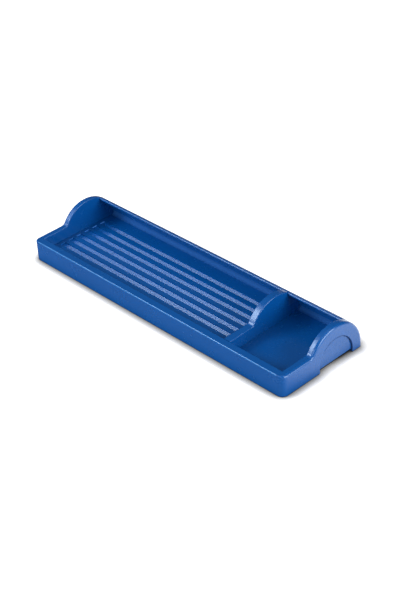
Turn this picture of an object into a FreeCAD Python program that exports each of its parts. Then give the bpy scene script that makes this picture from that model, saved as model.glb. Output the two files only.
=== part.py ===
"""Desk pen tray: a constant-section tray body with a curved rear hood, two moulded end caps,
a moulded divider that makes a pen bay and a clip bay, and four stick-on feet.

Frame: millimetres, +X along the tray towards the clip bay, +Y towards the hood, +Z up.
The origin is the centre of the footprint, on the surface that the feet stand on.
"""
import FreeCAD, Part
import math
import os

# ---- Overall sizes -------------------------------------------------------------------------
length = 260.0            # over the two end caps
depth = 77.0              # front skirt to the back of the hood, at the table
crest_height = 29.7       # table to the top of the barrel
rim_height = 16.7         # table to the low front rim
stand_off = 0.6           # skirt edge above the table, carried by the feet
draft_angle = 2.0         # lean of the front wall, degrees

# ---- Barrel section ------------------------------------------------------------------------
barrel_radius = 25.7      # outside of the hood and of the arches
arch_root_radius = 3.5    # hollow curve where an arch rises from the rim
lip_angle = 63.0          # where the hood's front lip stops, degrees above the rear
wall = 1.8                # skin of the hood, of the skirts and under the grooves
front_rim_width = 5.6     # flat top of the hollow front wall
rim_fillet = 0.6          # crisp outer edge of the front rim
lip_flat = 0.2            # flat left between the two roundings of the hood's lip
inner_rim_fillet = 0.5    # rounding of the front rim's edge above the bays

# ---- Floor ---------------------------------------------------------------------------------
floor_height = 7.2        # table to the top of the floor
front_floor_fillet = 2.0
rear_floor_fillet = 2.5
groove_count = 6          # shallow pockets along the pen bay
groove_pitch = 7.85
groove_width = 4.4
groove_depth = 0.9
groove_start = 2.9        # left bulkhead to the left ends of the grooves
groove_stop = 10.0        # right ends of the grooves to the divider
first_groove = 19.8       # rim's front edge to the middle of the first groove
ridges_per_groove = 4     # fine flat-sided ridges along the bottom of a groove
ridge_height = 0.35

# ---- Bulkheads -----------------------------------------------------------------------------
band_width = 5.6          # top band of the end caps and of the divider, at the rim
bulkhead_skin = 1.5       # skins of the hollow end caps and divider
plug_depth = 1.0          # how far a cap's bulkhead stands into the body's bay
corner_radius = 5.0       # upright front corners, seen from above
end_fillet = 2.3          # soft outer edge round the end faces
band_fillet = 0.6         # rounding of the bands' edges above the bays
divider_place = 200.5     # left end of the tray to the divider's left face
fit_gap = 0.1             # clearance of the plugs, the tongues and the divider in the body

# ---- Grip recess in the end faces ----------------------------------------------------------
grip_radius = 16.0
grip_depth = 1.1
notch_height = 2.2        # gap under the recess that lets a fingertip in

# ---- Rails, tongues and feet ---------------------------------------------------------------
rail_width = 13.0
rail_clearance = 1.4      # table to the underside of a rail
rail_skin = 1.2
rail_inset = 15.5         # skirt to the middle of the rail, front and rear
tongue_length = 9.0       # how far a cap's tongues reach into the body
foot_diameter = 10.0
foot_seat_depth = 0.3     # the foot's seat in the rail
foot_seat_gap = 0.2       # radial play of the foot in its seat
foot_inset = 22.0         # end of the tray to the middle of a foot

# ---- Places that follow from the sizes above -----------------------------------------------
lean = math.tan(math.radians(draft_angle))
half_length = length / 2
front_y = -depth / 2
rear_y = depth / 2
barrel_y = rear_y - barrel_radius
barrel_z = crest_height - barrel_radius
hood_inner_radius = barrel_radius - wall
front_rim_y = front_y + rim_height * lean
bay_front_y = front_rim_y + front_rim_width
lip_fillet = (wall - lip_flat) / 2
floor_underside = floor_height - groove_depth - wall
bay_end_x = half_length - band_width
cap_joint_x = bay_end_x + plug_depth
grip_face_x = half_length - grip_depth
core_end_x = grip_face_x - bulkhead_skin
divider_left_x = divider_place - half_length
divider_right_x = divider_left_x + band_width
rail_places = (front_y + rail_inset, rear_y - rail_inset)
foot_x = half_length - foot_inset
above = crest_height + 5.0   # a height clear of the whole tray
below = -5.0                 # a height under the table


def line(start, end):
    """Straight edge in the cross-section; a point is (y, z)."""
    return Part.LineSegment(FreeCAD.Vector(0, *start), FreeCAD.Vector(0, *end)).toShape()


def on_circle(centre, radius, degrees):
    angle = math.radians(degrees)
    return (centre[0] + radius * math.cos(angle), centre[1] + radius * math.sin(angle))


def arc(centre, radius, start, end):
    """Round edge in the cross-section between two angles in degrees."""
    points = [on_circle(centre, radius, degrees) for degrees in (start, (start + end) / 2, end)]
    return Part.Arc(*[FreeCAD.Vector(0, *point) for point in points]).toShape()


def prism(edges, left, right):
    """Solid between two stations along X with the cross-section that the edges enclose."""
    face = Part.Face(Part.Wire(edges))
    face.translate(FreeCAD.Vector(left, 0, 0))
    return face.extrude(FreeCAD.Vector(right - left, 0, 0))


def block(x_span, y_span, z_span):
    corner = FreeCAD.Vector(x_span[0], y_span[0], z_span[0])
    return Part.makeBox(x_span[1] - x_span[0], y_span[1] - y_span[0], z_span[1] - z_span[0], corner)


def outer_section(inset=0.0):
    """Outline of the tray seen from its end: front wall, rim, arch and hood, moved in by inset.

    It runs on below the table, and above_skirt_edge cuts it off.
    """
    rim = rim_height - inset
    root_z = rim_height + arch_root_radius
    reach = math.sqrt((barrel_radius + arch_root_radius) ** 2 - (root_z - barrel_z) ** 2)
    root = (barrel_y - reach, root_z)
    barrel = (barrel_y, barrel_z)
    meet = math.degrees(math.atan2(barrel_z - root_z, reach))
    back = barrel_y + barrel_radius - inset
    foot = (front_y + below * lean + inset, below)
    edge = (front_y + rim * lean + inset, rim)
    return [
        line(foot, edge),
        line(edge, (root[0], rim)),
        arc(root, arch_root_radius + inset, -90, meet),
        arc(barrel, barrel_radius - inset, meet + 180, 0),
        line((back, barrel_z), (back, below)),
        line((back, below), foot),
    ]


def above_skirt_edge(left, right):
    """Room for everything between two stations along X that is above the skirt's lower edge."""
    return block((left, right), (-depth, depth), (stand_off, above))


def bay_section(gap=0.0, rounded=False):
    """Outline of the open bay: front wall, floor, hood and the way out over the lip, less a gap.

    Rounded, it also takes the sharp edges off the front rim and off the hood's lip.
    """
    barrel = (barrel_y, barrel_z)
    hood = hood_inner_radius - gap
    floor = floor_height + gap
    front = bay_front_y + gap
    front_centre = (bay_front_y + front_floor_fillet, floor_height + front_floor_fillet)
    rise = floor_height + rear_floor_fillet - barrel_z
    reach = math.sqrt((hood_inner_radius - rear_floor_fillet) ** 2 - rise ** 2)
    rear_centre = (barrel_y + reach, floor_height + rear_floor_fillet)
    meet = math.degrees(math.atan2(rise, reach))
    edges = [
        arc(front_centre, front_floor_fillet - gap, 180, 270),
        line((front_centre[0], floor), (rear_centre[0], floor)),
        arc(rear_centre, rear_floor_fillet - gap, -90, meet),
    ]
    if not rounded:
        lip = lip_angle + math.degrees(math.asin(gap / hood))
        lip_point = on_circle(barrel, hood, lip)
        slope = math.tan(math.radians(lip_angle))
        way_out = (lip_point[0] + (above - lip_point[1]) / slope, above)
        return edges + [
            arc(barrel, hood, meet, lip),
            line(lip_point, way_out),
            line(way_out, (front, above)),
            line((front, above), (front, front_centre[1])),
        ]
    inner_turn = math.degrees(math.asin(lip_fillet / (hood_inner_radius + lip_fillet)))
    outer_turn = math.degrees(math.asin(lip_fillet / (barrel_radius - lip_fillet)))
    inner = on_circle(barrel, hood_inner_radius + lip_fillet, lip_angle - inner_turn)
    outer = on_circle(barrel, barrel_radius - lip_fillet, lip_angle - outer_turn)
    over = on_circle(outer, lip_fillet, lip_angle - outer_turn)
    rim = (bay_front_y - inner_rim_fillet, rim_height - inner_rim_fillet)
    return edges + [
        arc(barrel, hood_inner_radius, meet, lip_angle - inner_turn),
        arc(inner, lip_fillet, lip_angle - inner_turn + 180, lip_angle + 90),
        line(on_circle(inner, lip_fillet, lip_angle + 90), on_circle(outer, lip_fillet, lip_angle + 90)),
        arc(outer, lip_fillet, lip_angle + 90, lip_angle - outer_turn),
        line(over, (over[0], above)),
        line((over[0], above), (rim[0], above)),
        line((rim[0], above), (rim[0], rim_height)),
        arc(rim, inner_rim_fillet, 90, 0),
        line((bay_front_y, rim[1]), (bay_front_y, front_centre[1])),
    ]


def underside_section():
    """Outline of the space under the floor, between the front wall's inner skin and the hood."""
    front = bay_front_y - wall
    drop = floor_underside - barrel_z
    at_floor = math.degrees(math.asin(drop / hood_inner_radius))
    meet = (barrel_y + math.sqrt(hood_inner_radius ** 2 - drop ** 2), floor_underside)
    back = barrel_y + hood_inner_radius
    return [
        line((front, below), (front, floor_underside)),
        line((front, floor_underside), meet),
        arc((barrel_y, barrel_z), hood_inner_radius, at_floor, 0),
        line((back, barrel_z), (back, below)),
        line((back, below), (front, below)),
    ]


def front_chamber_section(gap=0.0):
    """Outline of the slot inside the hollow front wall, open downwards, less a gap."""
    top = rim_height - wall - gap
    outer = wall + gap
    inner = bay_front_y - wall - gap
    base = stand_off + gap if gap else below
    return [
        line((front_y + base * lean + outer, base), (front_y + top * lean + outer, top)),
        line((front_y + top * lean + outer, top), (inner, top)),
        line((inner, top), (inner, base)),
        line((inner, base), (front_y + base * lean + outer, base)),
    ]


def edges_along_x(solid, point, reach=0.05):
    """The solid's edges that run along X past a point (y, z) of the cross-section."""
    found = []
    for edge in solid.Edges:
        ends = [vertex.Point for vertex in edge.Vertexes]
        if len(ends) == 2 and all(math.hypot(e.y - point[0], e.z - point[1]) < reach for e in ends):
            found.append(edge)
    return found


def groove(number):
    """Shallow pocket that keeps a pen from rolling, with fine ridges along its bottom."""
    middle = front_rim_y + first_groove + number * groove_pitch
    front = middle - groove_width / 2
    back = middle + groove_width / 2
    top = floor_height + groove_depth
    bottom = floor_height - groove_depth
    edges = [
        line((back, bottom), (back, top)),
        line((back, top), (front, top)),
        line((front, top), (front, bottom)),
    ]
    return prism(edges + ridges(front, bottom), groove_start - bay_end_x, divider_left_x - groove_stop)


def ridges(front, bottom):
    """Sides of the ridges over the width of a groove, from its front side to its back."""
    half = groove_width / ridges_per_groove / 2
    sides = []
    for number in range(ridges_per_groove):
        start = front + 2 * number * half
        top = (start + half, bottom + ridge_height)
        sides.append(line((start, bottom), top))
        sides.append(line(top, (start + 2 * half, bottom)))
    return sides


def rail(left, right, middle, hollow=True):
    """Box rail under the floor: it carries the feet, and its bore takes a tongue of each cap."""
    half = rail_width / 2
    shape = block((left, right), (middle - half, middle + half), (rail_clearance, floor_underside))
    if hollow:
        shape = shape.cut(rail_bore(left, right, middle))
    return shape


def rail_bore(left, right, middle, gap=0.0):
    half = rail_width / 2 - rail_skin - gap
    low = rail_clearance + rail_skin + gap
    return block((left, right), (middle - half, middle + half), (low, floor_underside - gap))


def make_tray_body():
    """Hollow front wall, floor, hood and two rails for the feet, with the grooves cut last."""
    left, right = -cap_joint_x, cap_joint_x
    body = prism(outer_section(), left, right)
    body = body.makeFillet(rim_fillet, edges_along_x(body, (front_rim_y, rim_height)))
    body = body.common(above_skirt_edge(left, right))
    body = body.cut(prism(bay_section(rounded=True), left - 1, right + 1))
    body = body.cut(prism(underside_section(), left - 1, right + 1))
    body = body.cut(prism(front_chamber_section(), left - 1, right + 1))
    rails = [rail(left, right, middle) for middle in rail_places]
    body = body.fuse(rails).removeSplitter()
    body = body.cut([groove(number) for number in range(groove_count)])
    seat_radius = foot_diameter / 2 + foot_seat_gap
    for x, y in foot_places().values():
        base = FreeCAD.Vector(x, y, below)
        body = body.cut(Part.makeCylinder(seat_radius, rail_clearance + foot_seat_depth - below, base))
    return body


def cap_block():
    """Outside of the right end cap: round front corner, crisp front rim, softly rounded end."""
    solid = prism(outer_section(), cap_joint_x - corner_radius, half_length)
    solid = solid.makeFillet(corner_radius, [edge for edge in solid.Edges if is_front_corner(edge)])
    turn = [edge for edge in solid.Edges if is_corner_top(edge)]
    starts_in_front = turn[0].Vertexes[0].Point.y < turn[0].Vertexes[-1].Point.y
    radii = (rim_fillet, end_fillet) if starts_in_front else (end_fillet, rim_fillet)
    solid = solid.makeFillet(*radii, turn)
    return solid.common(above_skirt_edge(cap_joint_x, length))


def is_front_corner(edge):
    """True for the upright edge where the front wall meets the right end face."""
    box = edge.BoundBox
    return box.YMax < front_rim_y + 0.1 and box.XMin > half_length - 0.1 and box.ZLength > 1


def is_corner_top(edge):
    """True for the curve on the rim round the right front corner."""
    box = edge.BoundBox
    on_rim = box.ZLength < 0.1 and abs(box.ZMax - rim_height) < 0.1
    return on_rim and box.XLength > 1 and box.YLength > 1 and box.YMax < front_y + 3 * corner_radius


def bulkhead(left, right, rounded_faces):
    """Cross wall that fills the bay up to the rim, the arch and the hood."""
    wall_block = prism(bay_section(fit_gap), left, right).common(prism(outer_section(), left, right))
    edges = [edge for edge in wall_block.Edges if is_band_edge(edge, rounded_faces)]
    return wall_block.makeFillet(band_fillet, edges)


def is_band_edge(edge, faces):
    """True for an edge that borders the top band in one of the given planes across X."""
    box = edge.BoundBox
    in_plane = box.XLength < 0.01 and min(abs(box.XMin - x) for x in faces) < 0.01
    middle = edge.valueAt((edge.FirstParameter + edge.LastParameter) / 2)
    radius = math.hypot(middle.y - barrel_y, middle.z - barrel_z)
    on_arch = abs(radius - barrel_radius) < 0.05
    before_arch = middle.z < rim_height + arch_root_radius and middle.y < barrel_y
    return in_plane and box.ZMin > rim_height - 0.01 and (on_arch or before_arch)


def core(left, right, inset):
    """Hollow inside a bulkhead, open downwards, with the tray's outline moved in by inset."""
    shape = prism(outer_section(inset), left, right)
    return shape.common(block((left, right), (bay_front_y + inset, depth), (below, above)))


def grip_recess():
    """Half-round recess in the end face, and the notch below it that lets a fingertip in."""
    centre = FreeCAD.Vector(grip_face_x, barrel_y, barrel_z)
    disc = Part.makeCylinder(grip_radius, length, centre, FreeCAD.Vector(1, 0, 0))
    span = (barrel_y - grip_radius, barrel_y + grip_radius)
    lower = block((grip_face_x, 2 * length), span, (below, barrel_z))
    notch = block((bay_end_x, 2 * length), span, (below, stand_off + notch_height))
    return [disc, lower, notch]


def make_right_end_cap():
    """End of the tray: hollow bulkhead with a plug for the bay and three tongues for the body."""
    cap = cap_block()
    cap = cap.fuse(bulkhead(bay_end_x, cap_joint_x + plug_depth, [bay_end_x]))
    cap = cap.cut(core(bay_end_x + bulkhead_skin, core_end_x, wall))
    cap = cap.cut(prism(underside_section(), bay_end_x - 1, core_end_x))
    cap = cap.cut(grip_recess())
    reach = cap_joint_x - tongue_length
    parts = [prism(front_chamber_section(fit_gap), reach, cap_joint_x + plug_depth)]
    for middle in rail_places:
        parts.append(rail(cap_joint_x, core_end_x, middle, hollow=False))
        parts.append(rail_bore(reach, cap_joint_x + plug_depth, middle, fit_gap))
    return cap.fuse(parts).removeSplitter()


def mirrored(solid):
    """The same piece for the other end of the tray."""
    return solid.mirror(FreeCAD.Vector(0, 0, 0), FreeCAD.Vector(1, 0, 0))


def make_divider():
    """Hollow bulkhead that stands on the floor, flush with the rim and with the hood's outside."""
    divider = bulkhead(divider_left_x, divider_right_x, [divider_left_x, divider_right_x])
    inset = wall + fit_gap + bulkhead_skin
    return divider.cut(core(divider_left_x + bulkhead_skin, divider_right_x - bulkhead_skin, inset))


def foot_places():
    """Name and place (x, y) of each foot."""
    places = {}
    for end, x in (("left", -foot_x), ("right", foot_x)):
        for side, y in zip(("front", "rear"), rail_places):
            places[f"foot_{side}_{end}"] = (x, y)
    return places


def make_foot(x, y):
    """Soft disc, stuck into its seat in the rail."""
    height = rail_clearance + foot_seat_depth
    return Part.makeCylinder(foot_diameter / 2, height, FreeCAD.Vector(x, y, 0))


def main():
    right_cap = make_right_end_cap()
    parts = {
        "tray_body": make_tray_body(),
        "right_end_cap": right_cap,
        "left_end_cap": mirrored(right_cap),
        "divider": make_divider(),
    }
    for name, (x, y) in foot_places().items():
        parts[name] = make_foot(x, y)
    os.makedirs("parts", exist_ok=True)
    for name, shape in parts.items():
        shape.exportStep(f"parts/{name}.step")
        print(name, "solids", len(shape.Solids), "valid", shape.isValid(), "volume", round(shape.Volume))


main()
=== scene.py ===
"""Looks of the pen tray: blue gloss plastic and dark rubber feet on a white studio floor.

Metres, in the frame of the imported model: +X along the tray towards the short bay, +Y towards the
hood, +Z up, with the feet at z = 0. The pieces have their origin there too, so a place in a
material is a place in that frame.
"""

import math

import bpy
from mathutils import Matrix, Vector

MM = 0.001

# ---- Camera, fitted to the photograph's edges ------------------------------------------------
CAMERA_PLACE = (624.81 * MM, -523.37 * MM, 555.05 * MM)
CAMERA_RIGHT = (0.68543, 0.72440, -0.07364)
CAMERA_DOWN = (0.36929, -0.43302, -0.82227)
FIELD_OF_VIEW = math.radians(16.60)      # across the picture's width
SENSOR_WIDTH = 36.0                      # millimetres, as Blender counts it
NEAREST_SEEN = 10 * MM

# ---- Lamps: azimuth and elevation in degrees; distance, width and height in metres; watts ----
LAMPS = {
    "softbox_front_left": (-130.6, 37.0, 1.2, 0.60, 0.58, 10.8),
    "softbox_left": (-154.0, 46.0, 1.2, 0.40, 0.40, 1.6),
    "fill_front": (-76.0, 23.0, 1.5, 1.60, 1.00, 11.3),
    "fill_right": (12.0, 20.0, 1.5, 1.00, 0.80, 22.0),
    "overhead": (-90.0, 88.0, 1.2, 1.20, 1.20, 2.2),
}
WORLD_STRENGTH = 0.10                    # for the object; the camera sees white

# ---- Floor -----------------------------------------------------------------------------------
FLOOR_SIZE = 12.0
FLOOR_WHITE = 0.90
FLOOR_LIFT = 0.58                        # added for the camera, near the tray
FAR_FLOOR = (0.4, 1.1)                   # from the middle, between which that grows to 1, white
CONTACT_REACH = 8 * MM                   # width of the painted soft shadow along the tray's foot line
CONTACT_DEPTH = 2.5                      # the power that darkens it
CONTACT_SAMPLES = 16
UNDER_TRAY = (127 * MM, 36 * MM)         # half length and half depth of the painted shadow below it
UNDER_DARK = 0.85
BRIGHT_SIDE = (88 * MM, 150 * MM)        # along X + Y, where the painted reflection of white starts
MIRROR_DIM = 0.80                        # how far the painted reflection dims the floor elsewhere

# ---- Plastic; a noise is given by its scale, detail and roughness ----------------------------
NOISE_MIDDLE = (0.35, 0.65)              # the part of a noise that a ramp spreads over
BLUE_DEEP = (0.0005, 0.0645, 0.262)
BLUE_LIGHT = (0.0008, 0.0685, 0.276)
FLOW_MARKS = (18.0, 3.0, 0.5)
GLOSS_LOW = 0.24
GLOSS_HIGH = 0.28
GLOSS_GRAIN = (90.0, 4.0, 0.6)
RIPPLES = (45.0, 2.0, 0.5)
RIPPLE_HEIGHT = 0.3 * MM
RIPPLE_STRENGTH = 0.03
PLASTIC_IOR = 1.59
GLOSS_TINT = (0.64, 0.82, 1.0)

# ---- Places on the plastic with painted light or shade, or a gloss of their own --------------
# Most make up for light that the photograph has there and these lamps don't give.
MASK_EDGE = 0.3 * MM                     # over which such a place fades out
BETWEEN_CAPS = (-124.0 * MM, 124.0 * MM)
FLOOR_TOP = 7.2 * MM                     # of the tray's own floor

# painted light: the groove bottoms get a lighter blue than the plain plastic
GROOVES_X = (-121.5 * MM, 61.0 * MM)
GROOVES_Y = (-22.0 * MM, 24.0 * MM)
GROOVES_Z = (6.0 * MM, 6.9 * MM)
GROOVE_PAINTED_LIGHT = (0.0010, 0.080, 0.330)
DASH_FADE = (-32.0 * MM, 22.0 * MM)      # painted highlight on the grooves' left ends, growing towards the hood
DASH_HIGHLIGHT_BLUE = (0.07, 0.27, 0.72)

RIM_EDGE_Y = -37.75 * MM                 # the front rim's outer edge, with a painted highlight line
RIM_EDGE_Z = 16.10 * MM
RIM_EDGE_HIGHLIGHT_BLUE = (0.020, 0.150, 0.420)

# painted light: the inside of the hood gets a lighter blue than the plain plastic
HOOD_INSIDE_Y = (28.0 * MM, 36.9 * MM)
HOOD_PAINTED_LIGHT = (0.0004, 0.078, 0.315)
CORNER_Y = (33.6 * MM, 36.9 * MM)        # the rounding along the rear of the floor, with painted light and shade
CORNER_TOP = 10.2 * MM
# painted light and shade: a blue between the plain plastic and the hood's painted-light inside
CORNER_BLUE = (0.0003, 0.072, 0.292)
HOOD_BACK_Y = (24.9 * MM, 40.0 * MM)
HOOD_BACK_LOW = 16.0 * MM

RECESS_CENTRE = (12.8 * MM, 4.0 * MM)    # Y, Z of the grip recess in the end faces
RECESS_EDGE = (15.70 * MM, 16.35 * MM)   # inner and outer radius of its painted shadow line
RECESS_X = 128.5 * MM                    # the painted shadow line lies past this, on both end faces
RECESS_SHADE_FADE = (-2.0 * MM, 5.0 * MM)     # along Y; the painted shadow line fades out towards the front
RECESS_SHADE_BLUE = (0.0003, 0.026, 0.125)

MATT = 0.90                              # roughness of the places that shine less
SATIN = 0.75

# ---- Rubber ----------------------------------------------------------------------------------
RUBBER_DARK = (0.012, 0.012, 0.013)
RUBBER_LIGHT = (0.028, 0.028, 0.030)
RUBBER_GRAIN = (900.0, 3.0, 0.5)
RUBBER_GRAIN_HEIGHT = 0.1 * MM
RUBBER_GRAIN_STRENGTH = 0.4
RUBBER_ROUGHNESS = 0.8


# ---- Nodes -----------------------------------------------------------------------------------
def principled(name):
    """A new material, its node tree and the Principled shader in it."""
    material = bpy.data.materials.new(name)
    material.use_nodes = True
    tree = material.node_tree
    return material, tree, tree.nodes["Principled BSDF"]


def noise(tree, scale, detail, roughness):
    """Noise that lies still on the object, in its own coordinates."""
    place = tree.nodes.new("ShaderNodeTexCoord")
    texture = tree.nodes.new("ShaderNodeTexNoise")
    texture.inputs["Scale"].default_value = scale
    texture.inputs["Detail"].default_value = detail
    texture.inputs["Roughness"].default_value = roughness
    tree.links.new(place.outputs["Object"], texture.inputs["Vector"])
    return texture.outputs["Fac"]


def ramp(tree, texture, low, high):
    """Runs from one colour to another with a noise."""
    node = tree.nodes.new("ShaderNodeValToRGB")
    first, last = node.color_ramp.elements
    first.position, last.position = NOISE_MIDDLE
    first.color = (*low, 1.0)
    last.color = (*high, 1.0)
    tree.links.new(texture, node.inputs["Fac"])
    return node.outputs["Color"]


def grey(level):
    """A grey level as red, green and blue."""
    return (level,) * 3


def add_bump(tree, shader, texture, distance, strength):
    """Raises the surface with a noise, by shading alone."""
    bump = tree.nodes.new("ShaderNodeBump")
    bump.inputs["Distance"].default_value = distance
    bump.inputs["Strength"].default_value = strength
    tree.links.new(texture, bump.inputs["Height"])
    tree.links.new(bump.outputs["Normal"], shader.inputs["Normal"])


def calculate(tree, operation, first, second=0.0):
    """Math node; each of its two inputs is a number or another node's output."""
    node = tree.nodes.new("ShaderNodeMath")
    node.operation = operation
    for place, value in enumerate((first, second)):
        if isinstance(value, bpy.types.NodeSocket):
            tree.links.new(value, node.inputs[place])
        else:
            node.inputs[place].default_value = value
    return node.outputs[0]


def product(tree, first, *others):
    """Numbers and outputs multiplied, so a place in all of several masks."""
    result = first
    for other in others:
        result = calculate(tree, "MULTIPLY", result, other)
    return result


def axes(tree):
    """The object's own X, Y and Z at the shaded point."""
    place = tree.nodes.new("ShaderNodeTexCoord")
    split = tree.nodes.new("ShaderNodeSeparateXYZ")
    tree.links.new(place.outputs["Object"], split.inputs[0])
    return split.outputs["X"], split.outputs["Y"], split.outputs["Z"]


def slope(tree, value, start, stop):
    """Runs smoothly from 0 at one value to 1 at another."""
    node = tree.nodes.new("ShaderNodeMapRange")
    node.interpolation_type = "SMOOTHSTEP"
    node.inputs["From Min"].default_value = start
    node.inputs["From Max"].default_value = stop
    tree.links.new(value, node.inputs["Value"])
    return node.outputs["Result"]


def over(tree, value, limit):
    """Mask that is 1 from a value on upwards."""
    return slope(tree, value, limit - MASK_EDGE, limit)


def under(tree, value, limit):
    """Mask that is 1 up to a value."""
    return slope(tree, value, limit + MASK_EDGE, limit)


def band(tree, value, low, high):
    """Mask that is 1 between two values and falls to 0 just outside them."""
    return product(tree, over(tree, value, low), under(tree, value, high))


def blend(tree, mask, plain, other):
    """Puts another colour over a colour where the mask is 1."""
    mix = tree.nodes.new("ShaderNodeMix")
    mix.data_type = "RGBA"
    tree.links.new(mask, mix.inputs["Factor"])
    tree.links.new(plain, mix.inputs["A"])
    mix.inputs["B"].default_value = (*other, 1.0)
    return mix.outputs["Result"]


def seen_by_camera(tree):
    """1 for what the camera sees, straight or through something clear, and 0 for other rays."""
    path = tree.nodes.new("ShaderNodeLightPath")
    return calculate(tree, "MAXIMUM", path.outputs["Is Camera Ray"], path.outputs["Is Transmission Ray"])


# ---- Masks of the places on the plastic ------------------------------------------------------
# the groove bottoms, which get painted light
def grooves(tree, x, y, z):
    return product(tree, band(tree, x, *GROOVES_X), band(tree, y, *GROOVES_Y),
                   band(tree, z, *GROOVES_Z))


def groove_ends(tree, x, y, z):
    """The upright left end of each groove, with a painted highlight: a short bright dash."""
    left_end = GROOVES_X[0]
    return product(tree, band(tree, x, left_end, left_end + MASK_EDGE), band(tree, y, *GROOVES_Y),
                   under(tree, z, FLOOR_TOP - MASK_EDGE), slope(tree, y, *DASH_FADE))


# painted highlight along the front rim's outer edge
def front_rim_edge(tree, x, y, z):
    return product(tree, band(tree, x, *BETWEEN_CAPS), under(tree, y, RIM_EDGE_Y),
                   over(tree, z, RIM_EDGE_Z))


# the inside of the hood, which gets painted light
def hood_inside(tree, x, y, z):
    return product(tree, band(tree, x, *BETWEEN_CAPS), band(tree, y, *HOOD_INSIDE_Y),
                   over(tree, z, FLOOR_TOP + MASK_EDGE))


# the rounding along the rear of the floor, with painted light and shade and a matt gloss
def floor_corner(tree, x, y, z):
    return product(tree, band(tree, x, *BETWEEN_CAPS), band(tree, y, *CORNER_Y),
                   under(tree, z, CORNER_TOP))


def hood_back(tree, x, y, z):
    return product(tree, band(tree, x, *BETWEEN_CAPS), band(tree, y, *HOOD_BACK_Y),
                   over(tree, z, HOOD_BACK_LOW))


def recess_shade_line(tree, x, y, z):
    """Painted shadow: a thin dark ring along the edge of the grip recess, in both end faces."""
    across = calculate(tree, "POWER", calculate(tree, "SUBTRACT", y, RECESS_CENTRE[0]), 2.0)
    upward = calculate(tree, "POWER", calculate(tree, "SUBTRACT", z, RECESS_CENTRE[1]), 2.0)
    reach = calculate(tree, "POWER", calculate(tree, "ADD", across, upward), 0.5)
    outward = calculate(tree, "ABSOLUTE", x)
    return product(tree, band(tree, reach, *RECESS_EDGE), over(tree, outward, RECESS_X),
                   slope(tree, y, *RECESS_SHADE_FADE))


PLACES = (
    # mask, colour, roughness
    (grooves, GROOVE_PAINTED_LIGHT, None),
    (groove_ends, DASH_HIGHLIGHT_BLUE, None),
    (front_rim_edge, RIM_EDGE_HIGHLIGHT_BLUE, None),
    (hood_inside, HOOD_PAINTED_LIGHT, None),
    (floor_corner, CORNER_BLUE, MATT),
    (hood_back, None, SATIN),
    (recess_shade_line, RECESS_SHADE_BLUE, MATT),
)


# ---- Materials -------------------------------------------------------------------------------
def blue_plastic():
    """Gloss plastic with faint flow marks, and with painted light and shade and matt places."""
    material, tree, shader = principled("blue_gloss_plastic")
    x, y, z = axes(tree)
    blue = ramp(tree, noise(tree, *FLOW_MARKS), BLUE_DEEP, BLUE_LIGHT)
    gloss = ramp(tree, noise(tree, *GLOSS_GRAIN), grey(GLOSS_LOW), grey(GLOSS_HIGH))
    for place, colour, roughness in PLACES:
        mask = place(tree, x, y, z)
        if colour is not None:
            blue = blend(tree, mask, blue, colour)
        if roughness is not None:
            gloss = blend(tree, mask, gloss, grey(roughness))
    tree.links.new(blue, shader.inputs["Base Color"])
    tree.links.new(gloss, shader.inputs["Roughness"])
    add_bump(tree, shader, noise(tree, *RIPPLES), RIPPLE_HEIGHT, RIPPLE_STRENGTH)
    shader.inputs["IOR"].default_value = PLASTIC_IOR
    shader.inputs["Specular Tint"].default_value = (*GLOSS_TINT, 1.0)
    return material


def foot_rubber():
    """Dark soft rubber with a fine grain."""
    material, tree, shader = principled("foot_rubber")
    grain = noise(tree, *RUBBER_GRAIN)
    tree.links.new(ramp(tree, grain, RUBBER_DARK, RUBBER_LIGHT), shader.inputs["Base Color"])
    shader.inputs["Roughness"].default_value = RUBBER_ROUGHNESS
    add_bump(tree, shader, grain, RUBBER_GRAIN_HEIGHT, RUBBER_GRAIN_STRENGTH)
    return material


def contact_shadow(tree, x, y):
    """Painted shadow: falls from 1 on the open floor to near 0 at the tray's foot line and under the
    tray.
    """
    contact = tree.nodes.new("ShaderNodeAmbientOcclusion")
    contact.samples = CONTACT_SAMPLES
    contact.inputs["Distance"].default_value = CONTACT_REACH
    half_x, half_y = UNDER_TRAY
    hidden = product(tree, band(tree, x, -half_x, half_x), band(tree, y, -half_y, half_y))
    light_left = calculate(tree, "SUBTRACT", 1.0, calculate(tree, "MULTIPLY", hidden, UNDER_DARK))
    return product(tree, calculate(tree, "POWER", contact.outputs["AO"], CONTACT_DEPTH), light_left)


def camera_lift(tree, x, y):
    """What the floor adds for the camera: more of it far away, where little lamp light falls."""
    along_x = calculate(tree, "ABSOLUTE", x)
    along_y = calculate(tree, "ABSOLUTE", y)
    outward = calculate(tree, "MAXIMUM", along_x, along_y)
    lift = calculate(tree, "MAXIMUM", slope(tree, outward, *FAR_FLOOR), FLOOR_LIFT)
    return product(tree, seen_by_camera(tree), lift)


def mirrored_floor(tree, x, y):
    """Masks for the painted reflection: glossy rays at the right, which find the floor glowing, and the
    rest.
    """
    glossy = tree.nodes.new("ShaderNodeLightPath").outputs["Is Glossy Ray"]
    rightward = calculate(tree, "ADD", x, y)
    bright = product(tree, glossy, slope(tree, rightward, *BRIGHT_SIDE))
    return bright, calculate(tree, "SUBTRACT", glossy, bright)


def clear_from_below(tree, shader):
    """Lets the camera look at the tray's underside through the floor."""
    side = tree.nodes.new("ShaderNodeNewGeometry")
    clear = tree.nodes.new("ShaderNodeBsdfTransparent")
    mix = tree.nodes.new("ShaderNodeMixShader")
    tree.links.new(side.outputs["Backfacing"], mix.inputs["Fac"])
    tree.links.new(shader, mix.inputs[1])
    tree.links.new(clear.outputs[0], mix.inputs[2])
    return mix.outputs[0]


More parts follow.
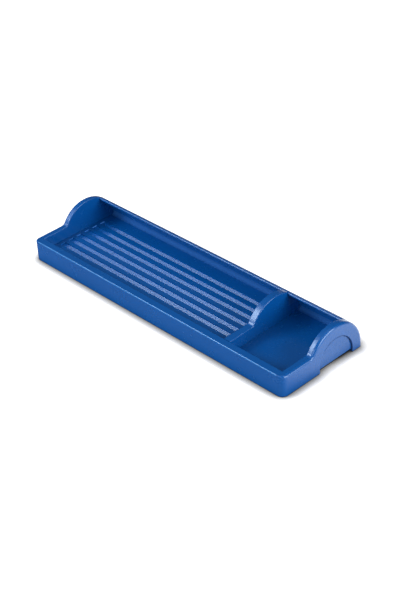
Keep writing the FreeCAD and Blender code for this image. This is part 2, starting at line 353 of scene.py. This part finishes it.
def white_floor():
    """Matt white that keeps the tray's shadow, with a painted shadow near it.

    In reflections it is painted: bright at the right and dimmed elsewhere.
    """
    material, tree, shader = principled("white_floor")
    shader.inputs["Roughness"].default_value = 1.0
    shader.inputs["IOR"].default_value = 1.0
    x, y, _ = axes(tree)
    open_floor = contact_shadow(tree, x, y)
    bright, dim = mirrored_floor(tree, x, y)

    light_left = calculate(tree, "SUBTRACT", 1.0, calculate(tree, "MULTIPLY", dim, MIRROR_DIM))
    white = product(tree, open_floor, light_left, FLOOR_WHITE)
    shade = tree.nodes.new("ShaderNodeCombineColor")
    for channel in ("Red", "Green", "Blue"):
        tree.links.new(white, shade.inputs[channel])
    tree.links.new(shade.outputs[0], shader.inputs["Base Color"])

    lift = calculate(tree, "ADD", camera_lift(tree, x, y), bright)
    glow = tree.nodes.new("ShaderNodeEmission")
    tree.links.new(product(tree, lift, open_floor), glow.inputs["Strength"])
    total = tree.nodes.new("ShaderNodeAddShader")
    tree.links.new(shader.outputs[0], total.inputs[0])
    tree.links.new(glow.outputs[0], total.inputs[1])
    surface = clear_from_below(tree, total.outputs[0])
    tree.links.new(surface, tree.nodes["Material Output"].inputs["Surface"])
    return material


# ---- Studio ----------------------------------------------------------------------------------
def make_floor():
    """Square floor at z = 0, which isn't part of the tray."""
    half = FLOOR_SIZE / 2
    corners = [(-half, -half, 0), (half, -half, 0), (half, half, 0), (-half, half, 0)]
    mesh = bpy.data.meshes.new("floor")
    mesh.from_pydata(corners, [], [(0, 1, 2, 3)])
    mesh.materials.append(white_floor())
    floor = bpy.data.objects.new("floor", mesh)
    bpy.context.collection.objects.link(floor)


def make_lamp(name, azimuth, elevation, distance, width, height, power):
    """Soft rectangular lamp that faces the tray; the camera doesn't see it."""
    data = bpy.data.lights.new(name, "AREA")
    data.shape = "RECTANGLE"
    data.size = width
    data.size_y = height
    data.energy = power
    lamp = bpy.data.objects.new(name, data)
    turn, rise = math.radians(azimuth), math.radians(elevation)
    towards = Vector((math.cos(turn) * math.cos(rise), math.sin(turn) * math.cos(rise), math.sin(rise)))
    lamp.location = towards * distance
    lamp.rotation_euler = towards.to_track_quat("Z", "Y").to_euler()
    lamp.visible_camera = False
    bpy.context.collection.objects.link(lamp)


def make_world():
    """White for the camera, and a low even light for the tray."""
    world = bpy.data.worlds.new("studio")
    world.use_nodes = True
    tree = world.node_tree
    background = tree.nodes["Background"]
    background.inputs["Color"].default_value = (1.0, 1.0, 1.0, 1.0)
    strength = calculate(tree, "MAXIMUM", seen_by_camera(tree), WORLD_STRENGTH)
    tree.links.new(strength, background.inputs["Strength"])
    bpy.context.scene.world = world


def make_camera():
    """Camera at the photograph's place and angle, on the object's real scale."""
    data = bpy.data.cameras.new("camera")
    data.sensor_fit = "HORIZONTAL"
    data.sensor_width = SENSOR_WIDTH
    data.lens = SENSOR_WIDTH / 2 / math.tan(FIELD_OF_VIEW / 2)
    data.clip_start = NEAREST_SEEN
    camera = bpy.data.objects.new("camera", data)
    right = Vector(CAMERA_RIGHT).normalized()
    up = -Vector(CAMERA_DOWN).normalized()
    back = right.cross(up)
    turn = Matrix((right, up, back)).transposed().to_4x4()
    camera.matrix_world = Matrix.Translation(Vector(CAMERA_PLACE)) @ turn
    bpy.context.collection.objects.link(camera)
    bpy.context.scene.camera = camera


def paint(piece, material):
    """Give a CAD node a material in place of its plain one."""
    for slot in piece.material_slots:
        slot.material = material


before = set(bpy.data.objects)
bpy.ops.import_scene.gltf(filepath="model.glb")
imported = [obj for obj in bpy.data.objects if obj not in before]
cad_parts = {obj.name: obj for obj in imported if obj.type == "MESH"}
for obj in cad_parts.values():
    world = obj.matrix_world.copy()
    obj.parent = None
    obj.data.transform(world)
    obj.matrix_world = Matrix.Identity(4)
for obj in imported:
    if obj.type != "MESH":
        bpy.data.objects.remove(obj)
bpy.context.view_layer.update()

plastic = blue_plastic()
rubber = foot_rubber()
for name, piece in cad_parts.items():
    paint(piece, rubber if name.startswith("foot_") else plastic)

make_floor()
make_world()
for name, setting in LAMPS.items():
    make_lamp(name, *setting)
make_camera()

bpy.context.scene.view_settings.view_transform = "Standard"
